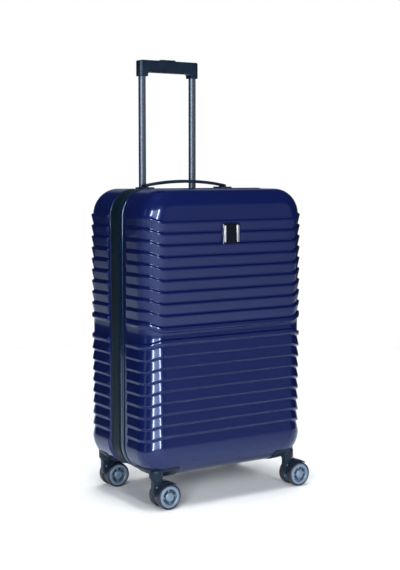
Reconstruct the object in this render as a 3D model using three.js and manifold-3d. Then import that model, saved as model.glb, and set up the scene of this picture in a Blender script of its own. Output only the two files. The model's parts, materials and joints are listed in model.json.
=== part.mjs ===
// A hard-shell suitcase on four twin-wheel casters, standing upright with its handle pulled out.
// Millimetres, +Z up, the front of the case faces -Y. Two half shells are joined by a zip that runs
// round the case; the zip's fabric on the left side is the hinge that the front half swings on.

import * as THREE from 'three';
import { mergeVertices } from 'three/addons/utils/BufferGeometryUtils.js';
import Module from 'manifold-3d';

const wasm = await Module();
wasm.setup();

// ---------- driving dimensions ----------

const caseW = 420;           // across the ribs, left to right
const caseD = 272;           // across the ribs, front to back
const shellTop = 675.5;      // top of the shells above the floor
const shellBottom = 66;      // underside of the shells above the floor
const wall = 2.5;            // shell wall
const faceR = 57;            // corner radius of the case seen from the front
const edgeR = 42;            // radius of the upright edges and round each face

const ribDepth = 4.5;
const ribPitch = 24.4;
const ribLedge = 4;          // height of the sloped ledge that ends each rib
const upperRibs = 10;        // the lowest of them is the bead above the plain band
const lowerRibs = 9;         // the highest of them is the bead below the plain band
const firstLedge = 620.6;    // middle of the top ledge on the sides
const lastLedge = 149;       // middle of the bottom ledge on the sides
const beadHeight = 10.9;     // ledge to ledge across a bead
const frontDrop = 11;        // how much lower the upper ribs run on the front than on the sides
const frontRise = 8.7;       // how much higher the lower ribs run on the front

const seamY = -12;           // the zip's line, where the case opens
const frontRim = 34.5;       // open edge of the front shell, forward of the middle
const backRim = 25;          // open edge of the back shell, behind the middle
const gap = 0.3;             // between touching pieces

const wheelR = 27.5;
const hubR = 23.8;
const hubVoid = 16;          // the ring of openings between the rim and the cap
const hubCap = 9;
const wheelIn = 7.5;         // inner and outer faces of the twin wheels from the caster's middle
const wheelOut = 22;
const trail = 22;            // axle behind the swivel axis
const casterX = 174;
const casterY = 110;
const axleR = 3;
const stemR = 5;

const tubeX = 67.5;
const tubeY = 120;
const tubeW = 16;
const tubeD = 13;
const tubeFoot = 575;        // foot of each sliding tube, well inside its outer tube
const outerTubeFoot = 110;
const gripTop = 963.5;
const gripHalf = 80;
const gripD = 22;
const gripUnder = 937;       // underside of the hand bar
const gripLegs = 927.5;      // underside of the two end legs
const gripLegInside = 57.5;

const carryX = 104;          // ends of the carry handle
const carryFront = 37.3;
const carryBack = 58.7;
const carryLow = 679.2;      // underside of the strap at its ends

const halfW = caseW / 2 - ribDepth;      // half width at the root of the ribs
const faceY = caseD / 2 - ribDepth;      // front and back faces at the root of the ribs
const sides = { left: -1, right: 1 };

// ---------- solids ----------

function toManifold(geometry) {
  const g = geometry.clone();
  g.deleteAttribute('normal');
  g.deleteAttribute('uv');
  const merged = mergeVertices(g, 1e-4);
  return new wasm.Manifold(new wasm.Mesh({
    numProp: 3,
    vertProperties: merged.attributes.position.array,
    triVerts: new Uint32Array(merged.index.array),
  }));
}

function fromManifold(solid) {
  const mesh = solid.getMesh();
  const g = new THREE.BufferGeometry();
  g.setAttribute('position', new THREE.BufferAttribute(new Float32Array(mesh.vertProperties), 3));
  g.setIndex(new THREE.BufferAttribute(new Uint32Array(mesh.triVerts), 1));
  g.computeVertexNormals();
  return g;
}

function cut(geometry, ...tools) {
  return fromManifold(tools.reduce((s, t) => s.subtract(toManifold(t)), toManifold(geometry)));
}

function join(first, ...others) {
  return fromManifold(others.reduce((s, t) => s.add(toManifold(t)), toManifold(first)));
}

function common(a, b) {
  return fromManifold(toManifold(a).intersect(toManifold(b)));
}

function box(x0, x1, y0, y1, z0, z1) {
  const g = new THREE.BoxGeometry(x1 - x0, y1 - y0, z1 - z0);
  return g.translate((x0 + x1) / 2, (y0 + y1) / 2, (z0 + z1) / 2);
}

// A round bar along Y or Z.
function barY(radius, y0, y1, x, z, around = 16) {
  return new THREE.CylinderGeometry(radius, radius, y1 - y0, around).translate(x, (y0 + y1) / 2, z);
}

function barZ(radius, z0, z1, x, y, around = 16) {
  const g = new THREE.CylinderGeometry(radius, radius, z1 - z0, around).rotateX(Math.PI / 2);
  return g.translate(x, y, (z0 + z1) / 2);
}

function roundedRect(x0, x1, y0, y1, r) {
  const s = new THREE.Shape();
  s.moveTo(x0 + r, y0);
  s.lineTo(x1 - r, y0);
  s.absarc(x1 - r, y0 + r, r, -Math.PI / 2, 0, false);
  s.lineTo(x1, y1 - r);
  s.absarc(x1 - r, y1 - r, r, 0, Math.PI / 2, false);
  s.lineTo(x0 + r, y1);
  s.absarc(x0 + r, y1 - r, r, Math.PI / 2, Math.PI, false);
  s.lineTo(x0, y0 + r);
  s.absarc(x0 + r, y0 + r, r, Math.PI, Math.PI * 1.5, false);
  return s;
}

function extrude(shape, depth, curveSegments) {
  return new THREE.ExtrudeGeometry(shape, { depth, bevelEnabled: false, curveSegments });
}

// A shape drawn in X and Y, raised from z0 to z1.
function prism(shape, z0, z1, curveSegments = 2) {
  return extrude(shape, z1 - z0, curveSegments).translate(0, 0, z0);
}

// A shape drawn in X and Z, running from y0 to y1.
function plate(shape, y0, y1, curveSegments = 4) {
  return extrude(shape, y1 - y0, curveSegments).rotateX(Math.PI / 2).translate(0, y1, 0);
}

// Turns a list of points and triangles into a geometry whose faces point outwards.
function facingOut(points, index) {
  let volume = 0;
  for (let i = 0; i < index.length; i += 3) {
    const [a, b, c] = [0, 1, 2].map((k) => points[index[i + k]]);
    volume += a.dot(b.clone().cross(c));
  }
  const g = new THREE.BufferGeometry().setFromPoints(points);
  g.setIndex(volume > 0 ? index : index.slice().reverse());
  g.computeVertexNormals();
  return g;
}

// A closed skin over level loops that all have the same number of points, capped at both ends.
function loft(loops) {
  const n = loops[0].length;
  const last = (loops.length - 1) * n;
  const index = [];
  for (let k = 0; k < last; k += n) {
    for (let i = 0; i < n; i++) {
      const j = (i + 1) % n;
      index.push(k + i, k + j, k + n + j, k + i, k + n + j, k + n + i);
    }
  }
  const flat = loops[0].map((p) => new THREE.Vector2(p.x, p.y));
  const clockwise = THREE.ShapeUtils.isClockWise(flat);
  for (const triangle of THREE.ShapeUtils.triangulateShape(flat, [])) {
    const [a, b, c] = clockwise ? triangle.reverse() : triangle;
    index.push(a, c, b);
    index.push(last + a, last + b, last + c);
  }
  return facingOut(loops.flat(), index);
}

// ---------- the two half shells ----------

const shellSkin = { steps: 5, angles: [4, 18, 33, 48, 63, 77], flare: ribDepth };
const liningSkin = { steps: 3, angles: [10, 40, 70], flare: 0 };
const ramps = { [-1]: [0, 4.5, 14.5], 1: [0, 3, 8] };    // rim, end of the plain flange, full rib

// The outline of a half shell at one level: from the rim back along the left side, round the upright
// edge, across the face and forward along the right side. depth is how far the level lies below the
// top or above the bottom, grow how far the outline stands outside the root of the ribs, rimGrow the
// same at the rim, extraR how much rounder the corners are than faceR, and slant how much higher the
// level runs on the face than on the sides.
function outline(level) {
  const { side, rim, z, depth = faceR * 2, grow = 0, rimGrow = 0, extraR = 0, slant = 0 } = level;
  const { face = faceY, steps } = level;
  const R = faceR + grow + extraR;
  const E = edgeR + grow;
  const inset = Math.min(E, depth);
  const round = (e) => (depth >= R ? R - e : Math.sqrt(Math.max(0, (R - e) ** 2 - (R - depth) ** 2)));
  const halfAt = (e) => halfW + grow - R + round(e);
  const half = ramps[side].map((along, k) => ({
    x: halfAt(0) - (k < 2 ? grow - rimGrow : 0),
    y: rim + along,
    rise: 0,
  }));
  for (let k = 0; k <= steps; k++) {
    const e = inset * (1 - Math.cos((k / steps) * Math.PI / 2));
    half.push({
      x: halfAt(e),
      y: face + grow - E + Math.sqrt(Math.max(0, E ** 2 - (E - e) ** 2)),
      rise: slant * THREE.MathUtils.smoothstep(k / steps, 1 / 3, 1),
    });
  }
  const left = half.map((p) => new THREE.Vector3(-p.x, side * p.y, z + p.rise));
  const right = half.map((p) => new THREE.Vector3(p.x, side * p.y, z + p.rise));
  return [...left, ...right.reverse()];
}

function roundDepths(grow, angles) {
  return angles.map((a) => (faceR + grow) * (1 - Math.cos(THREE.MathUtils.degToRad(a))));
}

// Levels of the ribs from the top down: height on the sides, depth of the rib, slant on the face.
function ribLevels() {
  const levels = [];
  const half = ribLedge / 2;
  const upperEnd = firstLedge - (upperRibs - 1) * ribPitch - beadHeight;
  const lowerStart = lastLedge + (lowerRibs - 1) * ribPitch;
  for (let k = 0; k < upperRibs; k++) {
    const z = firstLedge - k * ribPitch;
    levels.push([z + half, 0, -frontDrop], [z - half, ribDepth, -frontDrop]);
  }
  levels.push([upperEnd + half, ribDepth, -frontDrop], [upperEnd - half, 0, -frontDrop]);
  levels.push([lowerStart + beadHeight + half, 0, frontRise]);
  levels.push([lowerStart + beadHeight - half, ribDepth, frontRise]);
  for (let k = 0; k < lowerRibs; k++) {
    const z = lowerStart - k * ribPitch;
    levels.push([z + half, ribDepth, frontRise], [z - half, 0, frontRise]);
  }
  levels.push([lastLedge - ribPitch, ribDepth, frontRise]);
  return levels;
}

// The outside of a half shell. The ribs step up and down only round the upright front edges.
function ribbedBody(side, rim) {
  const { steps, angles } = shellSkin;
  const slanted = side < 0 ? 1 : 0;
  const top = roundDepths(0, angles);
  const low = roundDepths(ribDepth, angles).reverse();
  return loft([
    ...top.map((depth) => outline({ side, rim, steps, z: shellTop - depth, depth })),
    ...ribLevels().map(([z, grow, slant]) => outline({ side, rim, steps, z, grow, slant: slant * slanted })),
    ...low.map((depth) => outline({ side, rim, steps, z: shellBottom + depth, depth, grow: ribDepth })),
  ]);
}

// The same body without ribs, inset from their root. Below the lowest ledge it widens by flare.
function smoothBody(side, rim, inset, { steps, angles, flare } = shellSkin, face = faceY) {
  const at = { side, rim, face, steps, grow: -inset, rimGrow: -inset };
  const wide = { ...at, grow: flare - inset, extraR: ribDepth - flare };
  const top = roundDepths(-inset, angles);
  const low = roundDepths(ribDepth - inset, angles).reverse();
  return loft([
    ...top.map((depth) => outline({ ...at, z: shellTop - inset - depth, depth })),
    outline({ ...at, z: shellTop - faceR }),
    outline({ ...at, z: lastLedge }),
    outline({ ...wide, z: lastLedge - ribPitch }),
    ...low.map((depth) => outline({ ...wide, z: shellBottom + inset + depth, depth })),
  ]);
}

function halfShell(side, rim, ...holes) {
  return cut(ribbedBody(side, rim), smoothBody(side, rim - 5, wall), ...holes);
}

// A closed profile of [outward offset, y] points carried round the case like a hoop.
function hoop(profile, steps = 6) {
  const rings = [];
  for (let quarter = 0; quarter < 4; quarter++) {
    const R = quarter < 2 ? faceR : faceR + ribDepth;
    const cx = (halfW - R) * (quarter === 0 || quarter === 3 ? 1 : -1);
    const cz = quarter < 2 ? shellTop - R : shellBottom + R;
    for (let k = 0; k <= steps; k++) {
      const turn = (quarter + k / steps) * Math.PI / 2;
      rings.push(profile.map(([offset, y]) => new THREE.Vector3(
        cx + Math.cos(turn) * (R + offset), y, cz + Math.sin(turn) * (R + offset))));
    }
  }
  const m = profile.length;
  const total = rings.length * m;
  const index = [];
  for (let i = 0; i < total; i += m) {
    for (let j = 0; j < m; j++) {
      const a = i + j;
      const b = i + (j + 1) % m;
      const c = (b + m) % total;
      const d = (a + m) % total;
      index.push(a, b, c, a, c, d);
    }
  }
  return facingOut(rings.flat(), index);
}

// ---------- the scene graph ----------

const finishes = {
  shell: { color: 0x232a66, roughness: 0.18, metalness: 0.25 },
  plastic: { color: 0x15181d, roughness: 0.45, metalness: 0 },
  fabric: { color: 0x23292f, roughness: 0.9, metalness: 0 },
  lining: { color: 0x3a3d44, roughness: 0.95, metalness: 0 },
  tube: { color: 0x3c4354, roughness: 0.3, metalness: 0.9 },
  steel: { color: 0x9aa0a8, roughness: 0.35, metalness: 1 },
  tyre: { color: 0x101214, roughness: 0.6, metalness: 0 },
  hub: { color: 0x7f8a99, roughness: 0.4, metalness: 0.2 },
  chrome: { color: 0xd8dce0, roughness: 0.12, metalness: 1 },
  badge: { color: 0x0c0d10, roughness: 0.15, metalness: 0 },
};

const suitcase = new THREE.Group();

function add(name, finish, geometry, parent = suitcase) {
  const mesh = new THREE.Mesh(geometry, new THREE.MeshStandardMaterial(finishes[finish]));
  mesh.name = name;
  parent.add(mesh);
}

// The housing that the pull-out handle sinks into: a tray let into the back shell's top rear edge.
const tray = { x: 90, inside: gripHalf + 2.5, front: 104, back: caseD / 2 + 10, floor: 638, thick: 4 };

function tubeShape(x, grow) {
  const w = tubeW / 2 + grow;
  const d = tubeD / 2 + grow;
  return roundedRect(x - w, x + w, tubeY - d, tubeY + d, 5 + grow);
}

function bothTubes(grow, z0, z1) {
  return Object.values(sides).map((s) => prism(tubeShape(s * tubeX, grow), z0, z1));
}

function addTrolleyHousing() {
  const { x, inside, front, back, floor, thick } = tray;
  const block = common(box(-x, x, front, back, floor, shellTop + 5), smoothBody(1, backRim, -1));
  const pocket = box(-inside, inside, front + 3, back, floor + thick, shellTop + 5);
  add('trolley_housing', 'plastic', cut(block, pocket, ...bothTubes(gap, floor - 1, floor + thick + 1)));
}

function addTubes() {
  const outerWall = 1.2;
  const innerWall = 2;
  const top = tray.floor - gap;
  for (const [name, s] of Object.entries(sides)) {
    const x = s * tubeX;
    add(`outer_tube_${name}`, 'steel', cut(
      prism(tubeShape(x, gap + outerWall), outerTubeFoot, top),
      prism(tubeShape(x, gap), outerTubeFoot - 1, top + 1)));
    add(`trolley_tube_${name}`, 'tube', cut(
      prism(tubeShape(x, 0), tubeFoot, gripUnder + 6),
      prism(tubeShape(x, -innerWall), tubeFoot - 1, gripUnder + 7)));
  }
}

// The grip is hollow along its middle for the release yoke, and open above it for the button.
const button = { x: 20, y: 6.5, sink: 9, proud: 2.8, travel: 3 };
const yoke = { x: tubeX + 5, y: 4, top: gripTop - button.sink - gap, thick: 6, foot: 600, rodR: 2.2 };

function gripShape() {
  const s = new THREE.Shape();
  const r = 9;
  s.moveTo(-gripHalf + 1, gripLegs);
  s.lineTo(-gripLegInside, gripLegs);
  s.lineTo(-gripLegInside, gripUnder - 4);
  s.absarc(-gripLegInside + 4, gripUnder - 4, 4, Math.PI, Math.PI / 2, true);
  s.lineTo(gripLegInside - 4, gripUnder);
  s.absarc(gripLegInside - 4, gripUnder - 4, 4, Math.PI / 2, 0, true);
  s.lineTo(gripLegInside, gripLegs);
  s.lineTo(gripHalf - 1, gripLegs);
  s.lineTo(gripHalf, gripTop - r);
  s.absarc(gripHalf - r, gripTop - r, r, 0, Math.PI / 2, false);
  s.lineTo(-gripHalf + r, gripTop);
  s.absarc(-gripHalf + r, gripTop - r, r, Math.PI / 2, Math.PI, false);
  return s;
}

function addGrip() {
  const d = gripD / 2;
  const plan = prism(roundedRect(-gripHalf, gripHalf, tubeY - d, tubeY + d, 9), gripLegs - 1, gripTop + 1, 4);
  const body = common(plate(gripShape(), tubeY - d - 1, tubeY + d + 1), plan);
  const sockets = bothTubes(gap, gripLegs - 1, gripUnder + 6 + gap);
  const channel = box(-yoke.x - 1, yoke.x + 1, tubeY - yoke.y - 1, tubeY + yoke.y + 1,
    gripUnder + 6, yoke.top + 1);
  const window = prism(roundedRect(-button.x - gap, button.x + gap, tubeY - button.y - gap,
    tubeY + button.y + gap, 4), yoke.top - button.travel, gripTop + 1);
  add('trolley_grip', 'plastic', cut(body, ...sockets, channel, window));
  add('grip_button', 'plastic', prism(roundedRect(-button.x, button.x, tubeY - button.y,
    tubeY + button.y, 4), gripTop - button.sink, gripTop + button.proud));
  add('release_yoke', 'steel', join(
    box(-yoke.x, yoke.x, tubeY - yoke.y, tubeY + yoke.y, yoke.top - yoke.thick, yoke.top),
    ...Object.values(sides).map((s) => barZ(yoke.rodR, yoke.foot, yoke.top - 1, s * tubeX, tubeY, 8))));
}

// The carry handle is an arched strap. Each end goes down through a slot in a mount let into the top
// of the back shell, and its foot keeps it from pulling out.
const carry = { leg: 3, foot: 7, footHeight: 3, cup: 661, ceiling: shellTop - 0.7, lift: 8.5 };
const mountTop = carryLow - 0.4;
const mountHole = { x: 11.5, y0: carryFront - 3, y1: carryBack + 3 };

function carryShape() {
  const s = new THREE.Shape();
  const { leg, foot, footHeight, ceiling, lift } = carry;
  const footTop = ceiling - lift - gap;
  s.moveTo(-carryX - foot, footTop - footHeight);
  s.lineTo(-carryX + foot, footTop - footHeight);
  s.lineTo(-carryX + foot, footTop);
  s.lineTo(-carryX + leg, footTop);
  s.lineTo(-carryX + leg, carryLow);
  s.quadraticCurveTo(0, carryLow + 17, carryX - leg, carryLow);
  s.lineTo(carryX - leg, footTop);
  s.lineTo(carryX - foot, footTop);
  s.lineTo(carryX - foot, footTop - footHeight);
  s.lineTo(carryX + foot, footTop - footHeight);
  s.lineTo(carryX + foot, footTop);
  s.lineTo(carryX + leg, footTop);
  s.lineTo(carryX + leg, carryLow + 4);
  s.quadraticCurveTo(0, carryLow + 27, -carryX - leg, carryLow + 4);
  s.lineTo(-carryX - leg, footTop);
  s.lineTo(-carryX - foot, footTop);
  return s;
}

function mountBlock(x, grow, z0, z1) {
  const { x: half, y0, y1 } = mountHole;
  return box(x - half - grow, x + half + grow, y0 - grow, y1 + grow, z0, z1);
}

function addCarryHandle() {
  add('carry_handle', 'plastic', plate(carryShape(), carryFront, carryBack, 10));
  for (const [name, s] of Object.entries(sides)) {
    const x = s * carryX;
    const cup = mountBlock(x, 0, carry.cup, mountTop);
    const lip = mountBlock(x, 3, shellTop + gap, mountTop);
    const space = box(x - 9, x + 9, carryFront - 1, carryBack + 1, carry.cup + 1.5, carry.ceiling);
    const slot = box(x - carry.leg - gap, x + carry.leg + gap, carryFront - gap, carryBack + gap,
      carry.ceiling - 1, mountTop + 1);
    add(`carry_mount_${name}`, 'plastic', cut(join(cup, lip), space, slot));
  }
}

const mountHoles = Object.values(sides).map((s) => mountBlock(s * carryX, gap, carry.cup - 1, shellTop + 5));

// The caps that hold the casters wrap the four bottom corners of the case.
const capReach = 46;         // from the swivel axis towards the middle of the case
const capTop = 89;
const headTop = 67.5;        // top of the turning head, under the cap's boss

function addWheelHousing(name, sx, sy) {
  const x = sx * casterX;
  const y = sy * casterY;
  const rim = sy < 0 ? frontRim : backRim;
  const reach = box(...[x - sx * capReach, sx * caseW].sort((a, b) => a - b),
    ...[y - sy * capReach, sy * caseD].sort((a, b) => a - b), 0, capTop);
  const cap = common(smoothBody(sy, rim, -1.8), reach);
  const boss = barZ(15, headTop + gap, capTop - 4, x, y, 16);
  const hole = barZ(stemR + gap, 0, capTop, x, y, 12);
  add(`wheel_housing_${name}`, 'plastic', cut(join(cap, boss), smoothBody(sy, rim - 5, -gap), hole));
}

function stemHoles(sy) {
  return Object.values(sides).map((s) => barZ(stemR + gap, 0, capTop, s * casterX, sy * casterY, 12));
}

// A caster, drawn with its swivel axis on Z and its axle trailing towards +X, then turned about Z.
const turned = { rear_right: Math.PI / 2 };
function forkShape() {
  const s = new THREE.Shape();
  const hood = wheelR + 4;
  s.moveTo(-9, headTop - 4);
  s.lineTo(-9.5, wheelR + 12);
  s.quadraticCurveTo(-6, wheelR - 6, trail - 6, wheelR - 9);
  s.absarc(trail, wheelR, 9, -Math.PI * 0.6, Math.PI * 0.1, false);
  s.lineTo(trail + hood * Math.cos(Math.PI * 0.28), wheelR + hood * Math.sin(Math.PI * 0.28));
  s.absarc(trail, wheelR, hood, Math.PI * 0.28, Math.PI * 0.55, false);
  s.quadraticCurveTo(11, wheelR + hood + 2, 10, headTop - 4);
  return s;
}

function hoodShape() {
  const s = new THREE.Shape();
  s.absarc(trail, wheelR, wheelR + 4, Math.PI * 0.28, Math.PI * 0.8, false);
  s.absarc(trail, wheelR, wheelR + 1.6, Math.PI * 0.8, Math.PI * 0.28, true);
  return s;
}

function addCaster(name, sx, sy) {
  const caster = new THREE.Group();
  caster.position.set(sx * casterX, sy * casterY, 0);
  caster.rotation.z = turned[name] ?? 0;
  suitcase.add(caster);
  const web = wheelIn - 1.5;
  const head = barZ(12, headTop - 5, headTop, 0, 0, 16);
  const stem = barZ(stemR, headTop - 1, headTop + 8, 0, 0, 12);
  const body = join(plate(forkShape(), -web, web), plate(hoodShape(), -15, 15), head, stem);
  add(`fork_${name}`, 'plastic', cut(body, barY(axleR + gap, -20, 20, trail, wheelR, 12)), caster);
  add(`axle_${name}`, 'steel', barY(axleR, -wheelOut + 2, wheelOut - 2, trail, wheelR, 12), caster);
  addWheel(`${name}_front`, -1, caster);
  addWheel(`${name}_back`, 1, caster);
}

function addWheel(name, side, caster) {
  const at = (points) => points.map(([r, y]) => new THREE.Vector2(r, side * y));
  const hub = at([[axleR + gap, wheelIn + 0.5], [hubR, wheelIn + 0.5], [hubR, wheelOut],
    [hubVoid, wheelOut], [hubVoid, wheelOut - 5], [hubCap, wheelOut - 5], [hubCap, wheelOut - 0.5],
    [axleR + gap, wheelOut - 0.5], [axleR + gap, wheelIn + 0.5]]);
  const tyre = at([[hubR + gap, wheelIn], [wheelR - 1.5, wheelIn], [wheelR, wheelIn + 1.5],
    [wheelR, wheelOut - 2], [wheelR - 2, wheelOut], [hubR + gap, wheelOut], [hubR + gap, wheelIn]]);
  for (const [part, finish, profile] of [['hub', 'hub', hub], ['tyre', 'tyre', tyre]]) {
    const points = side > 0 ? profile : profile.reverse();
    add(`${part}_${name}`, finish, new THREE.LatheGeometry(points, 16).translate(trail, 0, wheelR), caster);
  }
}

// Zip, piping and linings. Each profile is [outward offset from the ribs' root, y].
const tapeOut = -3.1;
const tapeIn = -4.3;
const liningOut = 5.3;
const liningIn = 6.8;
const falseBack = tray.front - 2.5 + liningOut;      // the back lining hides the handle's tubes

function addZip() {
  add('zip_tape_front', 'fabric', hoop([
    [tapeIn, -frontRim - 10], [tapeOut, -frontRim - 10], [tapeOut, seamY - 5], [-1.2, seamY - 5],
    [-1.2, seamY - gap], [tapeIn, seamY - gap]]));
  add('zip_tape_back', 'fabric', hoop([
    [tapeIn, seamY + gap], [-1.2, seamY + gap], [-1.2, seamY + 3], [-0.4, seamY + 3.5],
    [-0.4, backRim - 2.5], [tapeOut, backRim - 1.5], [tapeOut, backRim + 8], [tapeIn, backRim + 8]]));
  const pipe = { middle: seamY - 11.2, half: 5.4, top: 1.4 };
  const profile = [[tapeOut + gap, pipe.middle + pipe.half], [tapeOut + gap, pipe.middle - pipe.half]];
  for (const part of [-1, -0.7, 0, 0.7, 1]) {
    profile.push([pipe.top - 2.2 * part ** 2, pipe.middle + pipe.half * part]);
  }
  add('piping_front', 'plastic', hoop(profile));
}

function addLinings() {
  const lining = (side, rim, face, holes = []) => cut(
    smoothBody(side, rim, liningOut, liningSkin, face),
    smoothBody(side, rim - 5, liningIn, liningSkin, face), ...holes);
  add('lining_front', 'lining', lining(-1, -seamY + 4, faceY));
  add('lining_back', 'lining', lining(1, -seamY - 8, falseBack, mountHoles));
  const inset = liningIn + 3;
  const inside = halfW - inset;
  const divider = roundedRect(-inside, inside, shellBottom + inset, shellTop - inset, faceR - liningIn);
  add('divider_panel', 'fabric', plate(divider, seamY - 10, seamY - 8));
  const strap = () => box(-230, 230, tray.front - 7, tray.front - 5, -19, 19);
  const middle = (shellTop + shellBottom) / 2;
  const cross = [-1, 1].map((s) => strap().rotateY(s * 0.85).translate(0, 0, middle));
  add('packing_straps', 'fabric', join(...cross));
}

// The badge on the front, over the ribs.
function addBadge() {
  const [low, high, half, face] = [560, 603, 21, -caseD / 2 - gap];
  const side = 4.5;
  const border = 1.2;
  add('badge_frame', 'chrome', cut(
    plate(roundedRect(-half, half, low, high, 2), face - 4, face),
    box(-half + side, half - side, face - 5, face + 1, low + border, high - border)));
  add('badge_plate', 'badge', box(-half + side + gap, half - side - gap, face - 3.2, face,
    low + border + gap, high - border - gap));
}

// The lock stands on the plain band of the front shell's right side, beside the zip.
const lock = { inner: halfW + gap, outer: halfW + 9.5, y0: -92, y1: -40, low: 358.5, high: 386.8 };
const dial = { r: 5, half: 2.5, x: halfW + 6.2, first: -84, pitch: 11 };
const release = { y0: -52, y1: -44, tall: 10, travel: 4 };

function addLock() {
  const { inner, outer, y0, y1, low, high } = lock;
  const z = (low + high) / 2;
  const rows = [0, 1, 2].map((k) => dial.first + k * dial.pitch);
  const slots = rows.map((y) => box(inner + 0.6, outer + 1, y - dial.half - gap, y + dial.half + gap,
    z - dial.r - 0.5, z + dial.r + 0.5));
  const track = box(outer - 3, outer + 1, release.y0 - gap, release.y1 + gap,
    z - release.tall / 2 - release.travel - gap, z + release.tall / 2 + gap);
  const shaft = barY(1.5, rows[0] - 5, rows[2] + 5, dial.x, z, 8);
  add('lock_body', 'plastic', join(cut(box(inner, outer, y0, y1, low, high), ...slots, track), shaft));
  rows.forEach((y, k) => {
    const disc = barY(dial.r, y - dial.half, y + dial.half, dial.x, z, 20);
    const bore = barY(1.5 + gap, y - dial.half - 1, y + dial.half + 1, dial.x, z, 8);
    add(`lock_dial_${k + 1}`, 'steel', cut(disc, bore));
  });
  add('lock_release', 'steel', box(outer - 3 + gap, outer + 1.5, release.y0, release.y1,
    z - release.tall / 2, z + release.tall / 2));
}

// Two sliders close the zip where they meet, beside the lock. Their pulls lie forward over the piping.
function addSliders() {
  const middle = (lock.low + lock.high) / 2;
  const x = halfW + 0.3;
  for (const [name, s] of [['upper', 1], ['lower', -1]]) {
    const z = middle + s * 7.5;
    const bridge = halfW + 3.6;
    const body = box(x, halfW + 2.4, seamY - 4.5, seamY + 4.5, z - 6, z + 6);
    const loop = join(box(x + 1, halfW + 6.6, seamY - 3.5, seamY + 3.5, z - 5.5, z - 4),
      box(x + 1, halfW + 6.6, seamY - 3.5, seamY + 3.5, z + 4, z + 5.5),
      barZ(0.9, z - 5, z + 5, bridge + 1.2, seamY, 8));
    add(`zip_slider_${name}`, 'steel', join(body, loop));
    const eye = cut(barZ(2.2, z - 3.6, z + 3.6, bridge + 1.2, seamY, 12),
      barZ(1.2, z - 4, z + 4, bridge + 1.2, seamY, 8));
    const tab = box(bridge + 0.2, bridge + 2.2, seamY - 25, seamY - 1.8, z - 3.6, z + 3.6);
    add(`zip_pull_${name}`, 'steel', join(tab, eye));
  }
}

add('front_shell', 'shell', halfShell(-1, frontRim, ...stemHoles(-1)));
add('back_shell', 'shell', halfShell(1, backRim, ...stemHoles(1), ...mountHoles,
  box(-tray.x - gap, tray.x + gap, tray.front - gap, tray.back, tray.floor - gap, shellTop + 5)));
addZip();
addLinings();
addTrolleyHousing();
addTubes();
addGrip();
addCarryHandle();
for (const [end, sy] of [['front', -1], ['rear', 1]]) {
  for (const [name, sx] of Object.entries(sides)) {
    addWheelHousing(`${end}_${name}`, sx, sy);
    addCaster(`${end}_${name}`, sx, sy);
  }
}
addBadge();
addLock();
addSliders();

// The origin is on the floor under the middle of the whole outline, wheels and fittings included.
const middle = new THREE.Box3().setFromObject(suitcase).getCenter(new THREE.Vector3());
suitcase.position.set(-middle.x, -middle.y, 0);

export default suitcase;
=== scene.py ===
"""A glossy ribbed travel case on four twin-wheel casters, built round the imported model."""

import json
import math

import bmesh
import bpy
from mathutils import Matrix, Vector


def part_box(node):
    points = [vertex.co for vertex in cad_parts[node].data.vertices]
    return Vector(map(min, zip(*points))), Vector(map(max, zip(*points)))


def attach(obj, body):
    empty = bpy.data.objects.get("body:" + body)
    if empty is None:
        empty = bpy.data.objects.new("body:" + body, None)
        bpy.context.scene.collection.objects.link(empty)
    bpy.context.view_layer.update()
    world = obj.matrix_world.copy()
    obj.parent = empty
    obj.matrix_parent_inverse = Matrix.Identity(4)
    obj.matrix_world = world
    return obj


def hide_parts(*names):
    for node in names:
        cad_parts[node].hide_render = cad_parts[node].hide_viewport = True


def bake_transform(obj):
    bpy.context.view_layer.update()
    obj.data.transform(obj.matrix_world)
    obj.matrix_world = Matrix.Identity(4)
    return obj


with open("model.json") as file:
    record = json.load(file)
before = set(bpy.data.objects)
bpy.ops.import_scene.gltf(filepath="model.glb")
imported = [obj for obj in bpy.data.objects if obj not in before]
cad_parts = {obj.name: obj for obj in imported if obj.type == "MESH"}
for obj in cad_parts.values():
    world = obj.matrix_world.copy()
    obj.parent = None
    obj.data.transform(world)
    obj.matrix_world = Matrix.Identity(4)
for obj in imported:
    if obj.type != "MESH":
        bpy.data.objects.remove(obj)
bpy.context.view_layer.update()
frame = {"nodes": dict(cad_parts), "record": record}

# ---------- sizes, in millimetres unless a name says otherwise ----------

MM = 0.001

front_box, back_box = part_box("front_shell"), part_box("back_shell")
# The case's middle on the floor, in metres. Places below are measured from it.
CENTRE = Vector(((front_box[0].x + front_box[1].x) / 2, (front_box[0].y + back_box[1].y) / 2, 0))

RIB = 4.5  # how far the ribs stand out
HALF_W = (front_box[1].x - front_box[0].x) / 2 / MM - RIB  # to the plain side, between ribs
FACE_Y = (back_box[1].y - front_box[0].y) / 2 / MM - RIB  # to the plain face, between ribs
SHELL_TOP = 675.5
SHELL_BOTTOM = 66
FACE_R = 57  # rounding of the case's corners, seen from the front
EDGE_R = 42  # rounding of its upright edges, seen from above
WALL = 2.5
PITCH = 24.4  # from one rib to the next
FIRST_LEDGE = 620.6  # height of the highest ledge on the sides
LAST_LEDGE = 149  # height of the lowest ledge on the sides
UPPER_RIBS = 10
LOWER_RIBS = 9
BEAD = 10.9  # height of the narrow bead above and below the plain band
LEDGE = 4  # height over which a rib steps out
FRONT_DROP = 11  # how much lower the upper ribs are on the front than on the sides
FRONT_RISE = 8.7  # how much higher the lower ribs are on the front
FRONT_RIM = 34.5  # from the middle to the front shell's rim
BACK_RIM = 25  # from the middle to the back shell's rim
FRONT_RIB_ENDS = (4.5, 14.5)  # from the rim to where the ribs start, and to where they are full
BACK_RIB_ENDS = (3, 8)
LIP_R = 0.9  # rounding of the rim
CLOTH = 0.5  # thickness of the linings and the divider
PAST_ROUNDING = 1e3  # any depth at which the corners' rounding has ended
SEAM_Y = -12  # where the zip closes
TUBE_X, TUBE_Y = 67.5, 120
BUTTON_X, BUTTON_Y = 20, 6.5  # half sizes
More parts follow.
